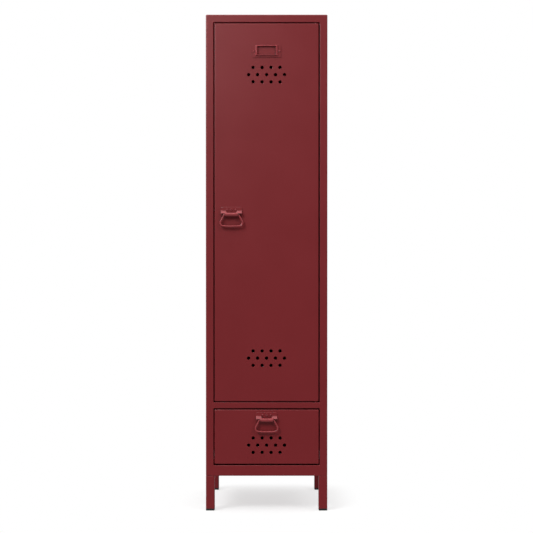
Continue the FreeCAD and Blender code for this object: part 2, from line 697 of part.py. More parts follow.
def door_panel():
    xs = (DOOR_LEFT, DOOR_RIGHT)
    zs = (DOOR_LOW, DOOR_TOP)
    walls = ("-y", "-x", "+x", "-z", "+z")
    skin = folded_box(xs, (FRONT, LEAF_BACK), zs, walls, PANEL_GAUGE, LEAF_BEND)
    rim = rounded_prism(xs, (LEAF_BACK - PANEL_GAUGE, LEAF_BACK), zs, LEAF_BEND)
    rim = rim.cut(block(grown(xs, -DOOR_LIP), (FRONT, LEAF_BACK + OVERCUT), grown(zs, -DOOR_LIP)))
    door = join([skin, rim])
    for z in DOOR_VENT_ZS:
        door = door.cut(vents(DOOR_MIDDLE, z))
    for z in zs:
        place = Vec(PIVOT_X, PIVOT_Y, z)
        door = drill(door, PIN_R + SCREW_HOLE_AIR, place, Vec(0, 0, 1), PANEL_GAUGE + OVERCUT)
    for place in label_rivet_places():
        door = drill(door, RIVET_R + SCREW_HOLE_AIR, place, Vec(0, 1, 0), OVERCUT)
    for place, radius in handle_fixings(DOOR_HANDLE_X, DOOR_HANDLE_Z):
        door = drill(door, radius + SCREW_HOLE_AIR, place, Vec(0, 1, 0), HANDLE_GAUGE + OVERCUT)
    return door


def door_stiffener():
    """An upright hat section behind the handle side of the door skin."""
    back = FRONT + PANEL_GAUGE
    half = STIFFENER_WIDTH / 2.0
    crown = STIFFENER_CROWN / 2.0
    zs = grown((DOOR_LOW, DOOR_TOP), -STIFFENER_END_GAP)
    crown_ys = (back + STIFFENER_DEPTH - PANEL_GAUGE, back + STIFFENER_DEPTH)
    pieces = [block((DOOR_HANDLE_X - crown, DOOR_HANDLE_X + crown), crown_ys, zs)]
    for side in (LEFT, RIGHT):
        wall = DOOR_HANDLE_X + side * crown
        pieces.append(block((wall, wall - side * PANEL_GAUGE), (back, crown_ys[1]), zs))
        pieces.append(block((wall - side * PANEL_GAUGE, DOOR_HANDLE_X + side * half),
                            (back, back + PANEL_GAUGE), zs))
    return join(pieces)


def door_hinge_plate(low):
    """A thick plate inside the end of the door that the hinge pin turns in."""
    edge = DOOR_LOW + PANEL_GAUGE if low else DOOR_TOP - PANEL_GAUGE - HINGE_PLATE
    right = DOOR_RIGHT - LEAF_BEND
    front = FRONT + LEAF_BEND
    plate = block((right - HINGE_PLATE_LENGTH, right), (front, front + HINGE_PLATE_WIDTH),
                  (edge, edge + HINGE_PLATE))
    place = Vec(PIVOT_X, PIVOT_Y, edge)
    return drill(plate, PIN_R + PIN_CLEARANCE, place, Vec(0, 0, 1), HINGE_PLATE + OVERCUT)


def strike_plate():
    left = DOOR_LEFT + STRIKE_EDGE
    half = STRIKE_HEIGHT / 2.0
    return rounded_prism((left, left + STRIKE_WIDTH), (LEAF_BACK, STRIKE_BACK),
                         (CATCH_Z - half, CATCH_Z + half), OPENING_CORNER)


def pole_xs(side):
    middle = CATCH_LEFT + CATCH_WIDTH / 2.0
    inner = middle + side * MAGNET_THICK / 2.0
    return inner, inner + side * POLE_GAUGE


def catch_case():
    half = CATCH_HEIGHT / 2.0
    case = rounded_prism((CATCH_LEFT, CATCH_LEFT + CATCH_WIDTH), (CATCH_FRONT, CATCH_FRONT + CATCH_DEPTH),
                         (CATCH_Z - half, CATCH_Z + half), OPENING_CORNER)
    flange = block((LIP_EDGE - CATCH_FLANGE, CATCH_LEFT + OPENING_CORNER),
                   (LIP_BACK, LIP_BACK + CATCH_FLANGE_GAUGE),
                   (CATCH_Z - half + OPENING_CORNER, CATCH_Z + half - OPENING_CORNER))
    room_xs = grown((pole_xs(LEFT)[1], pole_xs(RIGHT)[1]), FIT)
    room = block(room_xs, (CATCH_FRONT - OVERCUT, CATCH_FRONT + MAGNET_DEPTH + FIT),
                 grown((CATCH_Z, CATCH_Z), MAGNET_HEIGHT / 2.0 + FIT))
    case = join([case, flange]).cut(room)
    for place in catch_screw_places():
        case = drill(case, CATCH_SCREW_R + SCREW_HOLE_AIR, place, Vec(0, 1, 0), SCREW_LENGTH)
    return case


def catch_magnet():
    return block((pole_xs(LEFT)[0], pole_xs(RIGHT)[0]), (CATCH_FRONT, CATCH_FRONT + MAGNET_DEPTH),
                 grown((CATCH_Z, CATCH_Z), MAGNET_HEIGHT / 2.0))


def catch_pole_plates():
    zs = grown((CATCH_Z, CATCH_Z), MAGNET_HEIGHT / 2.0)
    ys = (POLE_FRONT, CATCH_FRONT + MAGNET_DEPTH)
    return Part.makeCompound([block(pole_xs(side), ys, zs) for side in (LEFT, RIGHT)])


def catch_screws():
    screw = bolt_shape(CATCH_SCREW_R, SCREW_LENGTH, CATCH_SCREW_HEAD_R, SCREW_HEAD)
    return Part.makeCompound([placed(screw, place, Vec(0, -1, 0)) for place in catch_screw_places()])


def door_bumpers():
    x = LIP_EDGE - STOP_LIP / 2.0
    start = LEAF_BACK + BUMPER_AIR
    pads = []
    for z in (DOOR_OPEN_LOW + BUMPER_INSET, DOOR_OPEN_TOP - BUMPER_INSET):
        pad = Part.makeCylinder(BUMPER_R, LIP_FRONT - start, Vec(x, start, z), Vec(0, 1, 0))
        rim = [e for e in pad.Edges if is_circle(e) and e.CenterOfMass.y < start + TOUCH]
        pads.append(pad.makeFillet(BUMPER_ROUND, rim))
    return Part.makeCompound(pads)


def label_holder():
    """A stamped card frame: two flat wings and a bevelled ring around a window."""
    x = DOOR_MIDDLE
    ring_z = LABEL_Z + LABEL_RING_RISE
    wing = rounded_prism(grown((x, x), LABEL_WIDTH / 2.0), (FRONT - LABEL_GAUGE, FRONT),
                         grown((LABEL_Z, LABEL_Z), LABEL_HEIGHT / 2.0), OPENING_CORNER)
    outlines = []
    for inset, y in ((0.0, FRONT - LABEL_GAUGE), (LABEL_RING_BEVEL, FRONT - LABEL_RING_PROUD)):
        half_x = LABEL_RING_WIDTH / 2.0 - inset
        half_z = LABEL_RING_HEIGHT / 2.0 - inset
        corners = [(-1, -1), (1, -1), (1, 1), (-1, 1), (-1, -1)]
        points = [Vec(x + i * half_x, y, ring_z + k * half_z) for i, k in corners]
        outlines.append(Part.makePolygon(points))
    ring = Part.makeLoft(outlines, True)
    holder = join([wing, ring])
    window = rounded_prism(grown((x, x), LABEL_WINDOW_WIDTH / 2.0),
                           (FRONT - LABEL_RING_PROUD - OVERCUT, FRONT + OVERCUT),
                           grown((ring_z, ring_z), LABEL_WINDOW_HEIGHT / 2.0), LABEL_GAUGE)
    half = LABEL_WINDOW_WIDTH / 2.0 + LABEL_SLOT_MARGIN
    slot = block((x - half, x + half), (FRONT - LABEL_GAUGE - LABEL_SLOT, FRONT - LABEL_GAUGE),
                 (ring_z - LABEL_WINDOW_HEIGHT / 2.0, LABEL_Z + LABEL_HEIGHT))
    holder = holder.cut(window).cut(slot)
    for place in label_rivet_places():
        holder = drill(holder, RIVET_R + SCREW_HOLE_AIR, place, Vec(0, 1, 0), OVERCUT)
    return holder


def rivet(place, grip):
    """A domed rivet through sheets of the given total thickness, with its tail formed."""
    head = bolt_shape(RIVET_R, grip, RIVET_HEAD_R, RIVET_HEAD, recess=False)
    tail = Part.makeCylinder(RIVET_HEAD_R, RIVET_HEAD, Vec(0, 0, -grip - RIVET_HEAD))
    return placed(head.fuse(tail).removeSplitter(), place, Vec(0, -1, 0))


def label_holder_rivets():
    grip = LABEL_GAUGE + PANEL_GAUGE
    return Part.makeCompound([rivet(place, grip) for place in label_rivet_places()])


def handle_ear(x, z, side):
    """A hood that slopes out of the plate above the wire, its inner end cut back to the barrel."""
    outer = x + side * HANDLE_WIDTH / 2.0
    inner = outer - side * EAR_WIDTH
    foot_x = inner - side * GUSSET_FOOT
    low = z + WIRE_R + EAR_CLEARANCE
    top = z + EAR_TOP
    nose = FRONT - EAR_PROUD
    rise = top - low - EAR_LIP
    under = top - EAR_GAUGE * math.hypot(EAR_PROUD, rise) / EAR_PROUD
    inside = nose + EAR_GAUGE
    bend = under - rise * (EAR_PROUD - EAR_GAUGE) / EAR_PROUD
    profile = [(FRONT, top), (nose, low + EAR_LIP), (nose, low), (inside, low), (inside, bend), (FRONT, under)]
    outline = Part.makePolygon([Vec(outer, v, w) for v, w in profile + profile[:1]])
    hood = Part.Face(outline).extrude(Vec(foot_x - outer, 0, 0))
    places = ((inner, top), (foot_x, low), (foot_x, top), (inner, top))
    outline = Part.makePolygon([Vec(u, nose - OVERCUT, w) for u, w in places])
    corner = Part.Face(outline).extrude(Vec(0, EAR_PROUD + OVERCUT, 0))
    return hood.cut(corner)


def handle_plate(x, z):
    """Stamped plate with a rolled barrel for the bail and two raised ears."""
    half = HANDLE_WIDTH / 2.0
    face = FRONT - HANDLE_GAUGE
    low = z - HANDLE_FALL
    plate = block((x - half, x + half), (face, FRONT), (low, z + HANDLE_RISE))
    top = [e for e in plate.Edges if runs_along(e, Vec(0, 1, 0)) and e.CenterOfMass.z > z]
    plate = plate.makeFillet(HANDLE_CORNER, top)
    rim = [e for e in plate.Edges if e.BoundBox.YMax < face + TOUCH and e.CenterOfMass.z > low + TOUCH]
    plate = plate.makeFillet(HANDLE_EDGE, rim)
    barrel_start = Vec(x - BARREL_LENGTH / 2.0, FRONT - BARREL_STANDOFF, z)
    barrel = Part.makeCylinder(BARREL_R, BARREL_LENGTH, barrel_start, Vec(1, 0, 0))
    holder = join([plate, barrel, handle_ear(x, z, LEFT), handle_ear(x, z, RIGHT)])
    holder = drill(holder, WIRE_R + WIRE_CLEARANCE, barrel_start, Vec(1, 0, 0), BARREL_LENGTH + OVERCUT)
    for place, radius in handle_fixings(x, z):
        holder = drill(holder, radius + SCREW_HOLE_AIR, place, Vec(0, 1, 0), HANDLE_GAUGE + OVERCUT)
    return holder


def handle_screws(x, z):
    """A pan-head screw in the middle of the plate and a small rivet each side."""
    fixings = handle_fixings(x, z)
    pieces = [screw_at(fixings[0][0], Vec(0, -1, 0))]
    pieces += [rivet(place, HANDLE_GAUGE + PANEL_GAUGE) for place, radius in fixings[1:]]
    return Part.makeCompound(pieces)


def bail(x, z):
    """A closed loop of round wire that swings in the barrel of its plate."""
    half = [(BAIL_NECK, 0.0, BAIL_NECK_BEND), (BAIL_SPREAD, -BAIL_DROP, BAIL_CORNER_BEND)]
    corners = [(-u, w, r) for u, w, r in half] + [(0.0, -BAIL_DROP - BAIL_BOW, BAIL_BOW_BEND)]
    corners += [(u, w, r) for u, w, r in reversed(half)]
    points = [Vec(x + u, FRONT - BARREL_STANDOFF, z + w) for u, w, r in corners]
    edges = []
    last = None
    first = None
    for i, (u, w, radius) in enumerate(corners):
        here = points[i]
        back = (points[i - 1] - here).normalize()
        ahead = (points[(i + 1) % len(points)] - here).normalize()
        opening = back.getAngle(ahead)
        reach = radius / math.tan(opening / 2.0)
        bisector = (back + ahead).normalize()
        start = here + back * reach
        end = here + ahead * reach
        middle = here + bisector * (radius / math.sin(opening / 2.0) - radius)
        if last is None:
            first = start
        else:
            edges.append(Part.LineSegment(last, start).toShape())
        edges.append(Part.Arc(start, middle, end).toShape())
        last = end
    edges.append(Part.LineSegment(last, first).toShape())
    path = Part.Wire(edges)
    section = Part.Wire([Part.makeCircle(WIRE_R, first, edges[0].tangentAt(edges[0].FirstParameter))])
    return path.makePipeShell([section], True, True)


def drawer_front():
    zs = (DRAWER_LOW, DRAWER_TOP)
    skin = folded_box((-DRAWER_HALF, DRAWER_HALF), (FRONT, LEAF_BACK), zs,
                      ("-y", "-x", "+x", "-z", "+z"), PANEL_GAUGE, LEAF_BEND)
    for z in DRAWER_VENT_ZS:
        skin = skin.cut(vents(DRAWER_HANDLE_X, z))
    for place, radius in handle_fixings(DRAWER_HANDLE_X, DRAWER_HANDLE_Z):
        skin = drill(skin, radius + SCREW_HOLE_AIR, place, Vec(0, 1, 0), HANDLE_GAUGE + OVERCUT)
    return skin


def drawer_side(side):
    outside = "-x" if side == LEFT else "+x"
    return folded_box((side * DRAWER_BOX_X, side * (DRAWER_BOX_X - DRAWER_FLANGE)),
                      (DRAWER_BOX_FRONT, DRAWER_BOX_REAR - PANEL_GAUGE), (DRAWER_FLOOR, DRAWER_SIDE_TOP),
                      (outside, "-y", "+y", "+z"), PANEL_GAUGE, BOX_BEND)


def drawer_bottom():
    half = DRAWER_BOX_X - PANEL_GAUGE - FIT
    ys = (DRAWER_BOX_FRONT + PANEL_GAUGE + FIT, DRAWER_BOX_REAR - 2.0 * PANEL_GAUGE - FIT)
    return folded_box((-half, half), ys, (DRAWER_FLOOR, DRAWER_FLOOR + TRAY_FLANGE),
                      ("-z", "-x", "+x", "-y", "+y"), PANEL_GAUGE, BOX_BEND)


def drawer_back():
    ys = (DRAWER_BOX_REAR - PANEL_GAUGE, DRAWER_BOX_REAR)
    plate = block((-DRAWER_BOX_X, DRAWER_BOX_X), ys, (DRAWER_FLOOR, DRAWER_SIDE_TOP))
    half = DRAWER_BOX_X - DRAWER_FLANGE - FIT
    rim = block((-half, half), (DRAWER_BOX_REAR - DRAWER_FLANGE, DRAWER_BOX_REAR),
                (DRAWER_SIDE_TOP - PANEL_GAUGE, DRAWER_SIDE_TOP))
    return join([plate, rim])


def runner_support(side):
    """A channel that brings the runner from the side panel in to the edge of the opening."""
    middle = RUNNER_LOW + RUNNER_GAUGE + RUNNER_INSIDE / 2.0
    inward = "+x" if side == LEFT else "-x"
    return folded_box((side * OPEN_X, side * INSIDE_X), (INSIDE_START, INSIDE_REAR),
                      grown((middle, middle), SUPPORT_HEIGHT / 2.0), (inward, "-z", "+z"),
                      SUPPORT_GAUGE, PANEL_BEND)


def cabinet_runner(side):
    """A channel open toward the drawer, with the front roller's axle through its web."""
    wall = OPEN_X - RUNNER_GAUGE
    ys = (RUNNER_START, RUNNER_END)
    top = TRACK + RUNNER_INSIDE
    web = block((side * OPEN_X, side * wall), ys, (RUNNER_LOW, top + RUNNER_GAUGE))
    low = block((side * OPEN_X, side * (OPEN_X - RUNNER_FLANGE)), ys, (RUNNER_LOW, TRACK))
    high = block((side * OPEN_X, side * (OPEN_X - RUNNER_FLANGE)), ys, (top, top + RUNNER_GAUGE))
    place = Vec(side * wall, CABINET_AXLE_Y, CABINET_AXLE_Z)
    reach = RUNNER_GAUGE + OVERCUT
    return drill(join([web, low, high]), AXLE_R + SCREW_HOLE_AIR, place, Vec(1, 0, 0), reach)


def drawer_runner(side):
    """A strip along the drawer side with a lip that rides on the cabinet roller."""
    wall = DRAWER_BOX_X + RUNNER_GAUGE
    ys = (LEAF_BACK + CARRIER_END_GAP, DRAWER_BOX_REAR - CARRIER_END_GAP)
    web_zs = (TRACK + CARRIER_WEB_LOW, TRACK + CARRIER_WEB_HIGH)
    web = block((side * DRAWER_BOX_X, side * wall), ys, web_zs)
    lip_zs = (LIP_UNDER, LIP_UNDER + RUNNER_GAUGE)
    lip = block((side * DRAWER_BOX_X, side * (DRAWER_BOX_X + LIP_REACH)), ys, lip_zs)
    place = Vec(side * wall, DRAWER_AXLE_Y, DRAWER_AXLE_Z)
    reach = RUNNER_GAUGE + OVERCUT
    return drill(join([web, lip]), AXLE_R + SCREW_HOLE_AIR, place, Vec(1, 0, 0), reach)


def roller_xs(side):
    """The two faces of a roller, in the middle of the slide space."""
    middle = OPEN_X - SLIDE_SPACE / 2.0
    return side * (middle - ROLLER_WIDTH / 2.0), side * (middle + ROLLER_WIDTH / 2.0)


def roller(side, radius, y, z):
    xs = sorted(roller_xs(side))
    wheel = Part.makeCylinder(radius, ROLLER_WIDTH, Vec(xs[0], y, z), Vec(1, 0, 0))
    wheel = wheel.makeFillet(ROLLER_RECESS, [e for e in wheel.Edges if is_circle(e)])
    for start in (xs[0] - ROLLER_RECESS, xs[1] - ROLLER_RECESS):
        groove = Part.makeCylinder(ROLLER_RECESS_R, 2.0 * ROLLER_RECESS, Vec(start, y, z), Vec(1, 0, 0))
        core = Part.makeCylinder(AXLE_HEAD_R, 2.0 * ROLLER_RECESS, Vec(start, y, z), Vec(1, 0, 0))
        wheel = wheel.cut(groove.cut(core))
    return drill(wheel, AXLE_R + AXLE_CLEARANCE, Vec(xs[0], y, z), Vec(1, 0, 0), ROLLER_WIDTH + OVERCUT)


def axle(root_x, far_x, y, z):
    """A pin from its runner through a roller, with a flat head beyond the roller."""
    way = 1.0 if far_x > root_x else -1.0
    along = Vec(way, 0, 0)
    shank = Part.makeCylinder(AXLE_R, abs(far_x - root_x) + AXLE_PLAY, Vec(root_x, y, z), along)
    head = Part.makeCylinder(AXLE_HEAD_R, AXLE_HEAD, Vec(far_x + way * AXLE_PLAY, y, z), along)
    return join([shank, head])


def cabinet_roller_axles():
    sides = (LEFT, RIGHT)
    pins = [axle(side * OPEN_X, roller_xs(side)[0], CABINET_AXLE_Y, CABINET_AXLE_Z) for side in sides]
    return Part.makeCompound(pins)


def drawer_roller_axles():
    sides = (LEFT, RIGHT)
    pins = [axle(side * DRAWER_BOX_X, roller_xs(side)[1], DRAWER_AXLE_Y, DRAWER_AXLE_Z) for side in sides]
    return Part.makeCompound(pins)


NODES = {
    "front_frame": front_frame(),
    "left_side_panel": side_panel(LEFT),
    "right_side_panel": side_panel(RIGHT),
    "top_panel": top_panel(),
    "bottom_panel": bottom_panel(),
    "back_panel": back_panel(),
    "locker_floor": locker_floor(),
    "hat_shelf": hat_shelf(),
    "shelf_clips": shelf_clips(),
    "hanging_rail": hanging_rail(),
    "left_rail_hanger": rail_hanger(LEFT),
    "right_rail_hanger": rail_hanger(RIGHT),
    "rail_hanger_screws": rail_hanger_screws(),
    "front_left_leg": leg(LEFT, False),
    "front_right_leg": leg(RIGHT, False),
    "rear_left_leg": leg(LEFT, True),
    "rear_right_leg": leg(RIGHT, True),
    "front_left_foot": foot(LEFT, False),
    "front_right_foot": foot(RIGHT, False),
    "rear_left_foot": foot(LEFT, True),
    "rear_right_foot": foot(RIGHT, True),
    "leg_bolts": leg_bolts(),
    "back_panel_screws": back_panel_screws(),
    "upper_hinge_pin": hinge_pin(False),
    "lower_hinge_pin": hinge_pin(True),
    "catch_case": catch_case(),
    "catch_magnet": catch_magnet(),
    "catch_pole_plates": catch_pole_plates(),
    "catch_screws": catch_screws(),
    "door_bumpers": door_bumpers(),
    "left_runner_support": runner_support(LEFT),
    "right_runner_support": runner_support(RIGHT),
    "left_cabinet_runner": cabinet_runner(LEFT),
    "right_cabinet_runner": cabinet_runner(RIGHT),
    "cabinet_roller_axles": cabinet_roller_axles(),
    "left_cabinet_roller": roller(LEFT, CABINET_ROLLER_R, CABINET_AXLE_Y, CABINET_AXLE_Z),
    "right_cabinet_roller": roller(RIGHT, CABINET_ROLLER_R, CABINET_AXLE_Y, CABINET_AXLE_Z),
    "door_panel": door_panel(),
    "door_stiffener": door_stiffener(),
    "upper_door_hinge_plate": door_hinge_plate(False),
    "lower_door_hinge_plate": door_hinge_plate(True),
    "strike_plate": strike_plate(),
    "label_holder": label_holder(),
    "label_holder_rivets": label_holder_rivets(),
    "door_handle_plate": handle_plate(DOOR_HANDLE_X, DOOR_HANDLE_Z),
    "door_handle_screws": handle_screws(DOOR_HANDLE_X, DOOR_HANDLE_Z),
    "door_bail": bail(DOOR_HANDLE_X, DOOR_HANDLE_Z),
    "drawer_front": drawer_front(),
    "left_drawer_side": drawer_side(LEFT),
    "right_drawer_side": drawer_side(RIGHT),
    "drawer_bottom": drawer_bottom(),
    "drawer_back": drawer_back(),
    "left_drawer_runner": drawer_runner(LEFT),
    "right_drawer_runner": drawer_runner(RIGHT),
    "drawer_roller_axles": drawer_roller_axles(),
    "left_drawer_roller": roller(LEFT, DRAWER_ROLLER_R, DRAWER_AXLE_Y, DRAWER_AXLE_Z),
    "right_drawer_roller": roller(RIGHT, DRAWER_ROLLER_R, DRAWER_AXLE_Y, DRAWER_AXLE_Z),
    "drawer_handle_plate": handle_plate(DRAWER_HANDLE_X, DRAWER_HANDLE_Z),
    "drawer_handle_screws": handle_screws(DRAWER_HANDLE_X, DRAWER_HANDLE_Z),
    "drawer_bail": bail(DRAWER_HANDLE_X, DRAWER_HANDLE_Z),
}

for name, shape in NODES.items():
    shape.exportStep("parts/" + name + ".step")
    print(name, len(shape.Solids), "solids", round(shape.Volume), "mm3")
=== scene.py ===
# %% [markdown]
# A steel locker: one tall door, one drawer and four square legs, all coated wine red. Its sheet
# metal is folded in CAD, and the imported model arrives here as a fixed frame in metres. Modelling
# the folds again as meshes would only copy them with errors, so this lesson keeps the folded
# sheets as they are and gives them light, a camera and finishes.

# %% Load the folded locker
import json
import bpy
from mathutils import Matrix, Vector


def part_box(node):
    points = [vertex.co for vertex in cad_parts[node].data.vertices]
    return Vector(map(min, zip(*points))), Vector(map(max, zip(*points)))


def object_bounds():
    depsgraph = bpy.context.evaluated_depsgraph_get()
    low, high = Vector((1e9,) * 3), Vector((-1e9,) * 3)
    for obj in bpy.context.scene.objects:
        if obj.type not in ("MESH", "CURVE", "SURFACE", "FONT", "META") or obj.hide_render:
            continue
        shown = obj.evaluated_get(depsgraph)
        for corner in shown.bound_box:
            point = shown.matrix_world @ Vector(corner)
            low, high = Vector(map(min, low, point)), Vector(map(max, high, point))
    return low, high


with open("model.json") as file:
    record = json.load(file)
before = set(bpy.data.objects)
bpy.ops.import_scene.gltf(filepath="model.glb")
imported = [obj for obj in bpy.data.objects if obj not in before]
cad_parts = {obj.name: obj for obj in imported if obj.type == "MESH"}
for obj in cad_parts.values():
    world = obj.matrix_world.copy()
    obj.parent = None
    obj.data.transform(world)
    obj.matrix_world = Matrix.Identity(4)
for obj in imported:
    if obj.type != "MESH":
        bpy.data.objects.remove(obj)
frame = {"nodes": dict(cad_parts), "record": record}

cad_low, cad_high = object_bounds()
print("locker box", [round(v, 4) for v in cad_high - cad_low], "from", len(frame["nodes"]), "nodes")

# %% [markdown]
# The photograph looks straight at the door from a long way off: both legs of each pair almost
# line up, and the rear feet stand only a little higher than the front ones. A long lens a little
# over four metres away gives that. How high the rear feet stand in the picture sets the distance,
# and the eye level is the height at which ledges change from showing their tops to showing their
# undersides.

# %% Camera in front of the door
LENS = 90.95
SENSOR = 36.0
CAMERA_SIDE = -0.0004
CAMERA_GAP = 4.207
EYE_LEVEL = 0.800
LOOK_DOWN = 0.00856

front_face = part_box("front_frame")[0].y
lens = bpy.data.cameras.new("front_camera")
lens.lens = LENS
lens.sensor_width = SENSOR
camera = bpy.data.objects.new("front_camera", lens)
camera.location = (CAMERA_SIDE, front_face - CAMERA_GAP, EYE_LEVEL)
camera.rotation_euler = Vector((0.0, 1.0, -LOOK_DOWN)).to_track_quat("-Z", "Y").to_euler()
bpy.context.scene.collection.objects.link(camera)
bpy.context.scene.camera = camera
bpy.context.scene.view_settings.view_transform = "Standard"
print("camera at", [round(v, 3) for v in camera.location], "lens", LENS)

# %% [markdown]
# Finishes are sums of noise, height and edges. Blender writes a sum as a chain of Math nodes,
# which is slow to read, so one small class wraps a socket and lets Python write the chain:
# `1 - mask` on a wrapped socket adds the Math node. Every other node comes from one method that
# takes its kind, its settings and its sockets.

# %% A socket that can be added, subtracted and scaled
class Shade:
    """One socket of a node tree, usable in plain arithmetic."""

    def __init__(self, tree, socket=None):
        self.tree = tree
        self.socket = socket

    def node(self, kind, settings=(), inputs=(), output=0):
        made = self.tree.nodes.new("ShaderNode" + kind)
        for name, value in dict(settings).items():
            setattr(made, name, value)
        for name, value in dict(inputs).items():
            self.feed(made.inputs[name], value)
        return Shade(self.tree, made.outputs[output] if made.outputs else None)

    def feed(self, target, value):
        if isinstance(value, Shade):
            self.tree.links.new(value.socket, target)
        else:
            target.default_value = value

    def maths(self, operation, first, second):
        return self.node("Math", {"operation": operation}, {0: first, 1: second})

    def __add__(self, other):
        return self.maths("ADD", self, other)

    def __radd__(self, other):
        return self.maths("ADD", other, self)

    def __sub__(self, other):
        return self.maths("SUBTRACT", self, other)

    def __rsub__(self, other):
        return self.maths("SUBTRACT", other, self)

    def __mul__(self, other):
        return self.maths("MULTIPLY", self, other)

    def __rmul__(self, other):
        return self.maths("MULTIPLY", other, self)

    def smooth(self, low, high):
        """0 below low, 1 above high, and an even curve between them."""
        settings = {"interpolation_type": "SMOOTHSTEP"}
        return self.node("MapRange", settings, {"Value": self, "From Min": low, "From Max": high})


print("socket arithmetic ready")

# %% [markdown]
# The studio is plain: a pale floor, a white backdrop and softboxes, and the photograph tells where
# they stand. The shadow of the door's wire handle falls to the right and down, so the strongest is
# at the upper left. The right bar of the card holder is lit as well, so a weaker one stands at the
# upper right. The shadow on the floor lies straight under the locker, so a third hangs overhead,
# and it makes the sloping ears of the handles shine. The paint also has a pale sheen at the upper
# left that dies away within a few hand widths, which only a light closer than two metres does.
# That one is a small panel that shows in the sheen and lights no matte colour, and a weak softbox
# in its place makes the paint around the sheen a little lighter as well.

# %% Softboxes and sheen panel
KEY_WAY = Vector((-0.9, -1.0, 1.25))
FILL_WAY = Vector((1.1, -1.0, 1.1))
STAND_OFF = 10.0
OVERHEAD_PLACE = Vector((0.0, -0.3, 3.2))
SHEEN_PLACE = Vector((-1.05, -1.10, 2.15))
STUDIO_BOX = 3.8
OVERHEAD_BOX = 1.6
SHEEN_BOX = 0.85

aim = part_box("door_handle_plate")[0]


def softbox(name, place, size, watts):
    lamp = bpy.data.lights.new(name, "AREA")
    lamp.shape = "SQUARE"
    lamp.size = size
    lamp.energy = watts
    stand = bpy.data.objects.new(name, lamp)
    stand.location = place
    stand.rotation_euler = (aim - place).to_track_quat("-Z", "Y").to_euler()
    bpy.context.scene.collection.objects.link(stand)
    return stand


key = softbox("left_softbox", aim + KEY_WAY.normalized() * STAND_OFF, STUDIO_BOX, watts=665.0)
fill = softbox("right_softbox", aim + FILL_WAY.normalized() * STAND_OFF, STUDIO_BOX, watts=230.0)
overhead = softbox("overhead_softbox", OVERHEAD_PLACE, OVERHEAD_BOX, watts=20.0)
sheen = softbox("sheen_panel", SHEEN_PLACE, SHEEN_BOX, watts=57.0)
sheen.visible_diffuse = False
near = softbox("near_softbox", SHEEN_PLACE, SHEEN_BOX, watts=3.5)
for light in (key, fill, overhead, sheen, near):
    print(light.name, [round(v, 2) for v in light.location], light.data.energy, "W")

# %% [markdown]
# The room is dark where the camera stands and pale at the sides, above and behind, as in a studio
# with white walls. The flat door mirrors the dark part and keeps its deep colour, and everything
# that turns away from it, such as a bent edge or a wire, mirrors a pale wall. A real backdrop
# would hide the locker from behind, so the world stands for it, and the camera sees it white.

# %% White walls and dark front
ROOM_FRONT = 0.07
ROOM_WALLS = 1.0
DARK_UNTIL = -0.85
PALE_FROM = -0.05
WHITE = (1.0, 1.0, 1.0, 1.0)


def shown_rays(start):
    """1 where the camera looks, straight or through something clear."""
    straight = start.node("LightPath", output="Is Camera Ray")
    through = start.node("LightPath", output="Is Transmission Ray")
    return straight + through


world = bpy.data.worlds.new("studio")
world.use_nodes = True
world.node_tree.nodes.clear()
room = Shade(world.node_tree)
way = room.node("TexCoord", output="Generated")
turned = room.node("SeparateXYZ", inputs={0: way}, output="Y").smooth(DARK_UNTIL, PALE_FROM)
walls = ROOM_FRONT + (ROOM_WALLS - ROOM_FRONT) * turned
strength = walls + (1.0 - walls) * shown_rays(room)
backdrop = room.node("Background", inputs={"Strength": strength, "Color": WHITE})
room.node("OutputWorld", inputs={"Surface": backdrop})
bpy.context.scene.world = world
print("room", ROOM_FRONT, "walls", ROOM_WALLS)

# %% [markdown]
# The floor is matte and pale. Under and around the locker it takes the real shadow, and a glow that
# is strong for the camera and weak for the locker lifts it to the white of the photograph. Further
# out it fades into the backdrop, so no horizon shows. The fade follows the locker's square
# footprint.

# %% Pale floor that keeps the shadow
FLOOR_HALF = 30.0
FLOOR_TONE = 0.33
FLOOR_LIFT = 0.63
FLOOR_GLOW = 0.16
FAR_GLOW = 0.38
MIRRORED_GLOW = 0.70
FADE = 0.12

half = FLOOR_HALF
corners = [(-half, -half, 0), (half, -half, 0), (half, half, 0), (-half, half, 0)]
floor_mesh = bpy.data.meshes.new("floor")
floor_mesh.from_pydata(corners, [], [(0, 1, 2, 3)])
floor = bpy.data.objects.new("floor", floor_mesh)
bpy.context.scene.collection.objects.link(floor)

pale = bpy.data.materials.new("pale_floor")
pale.use_nodes = True
pale.node_tree.nodes.clear()
ground = Shade(pale.node_tree)
shown = shown_rays(ground)
mirrored = ground.node("LightPath", output="Is Glossy Ray")
matte = ground.node("BsdfDiffuse", inputs={"Color": (FLOOR_TONE, FLOOR_TONE, FLOOR_TONE, 1.0)})
near_glow = FLOOR_GLOW + (FLOOR_LIFT - FLOOR_GLOW) * shown
far_glow = FAR_GLOW + (1.0 - FAR_GLOW) * shown + (MIRRORED_GLOW - FAR_GLOW) * mirrored
lift = ground.node("Emission", inputs={"Strength": near_glow})
lifted = ground.node("AddShader", inputs={0: matte, 1: lift})
bright = ground.node("Emission", inputs={"Strength": far_glow})
print("floor of", 2 * FLOOR_HALF, "m")

# %% [markdown]
# How far a spot of the floor lies outside the footprint could be drawn as a soft mask, but it is
# only a distance: fold all four quarters onto one, take the footprint away, and measure what is
# left.

# %% Fade from the footprint to the backdrop
FOOTPRINT = (cad_high.x, cad_high.y, 0.0)
ORIGIN = (0.0, 0.0, 0.0)

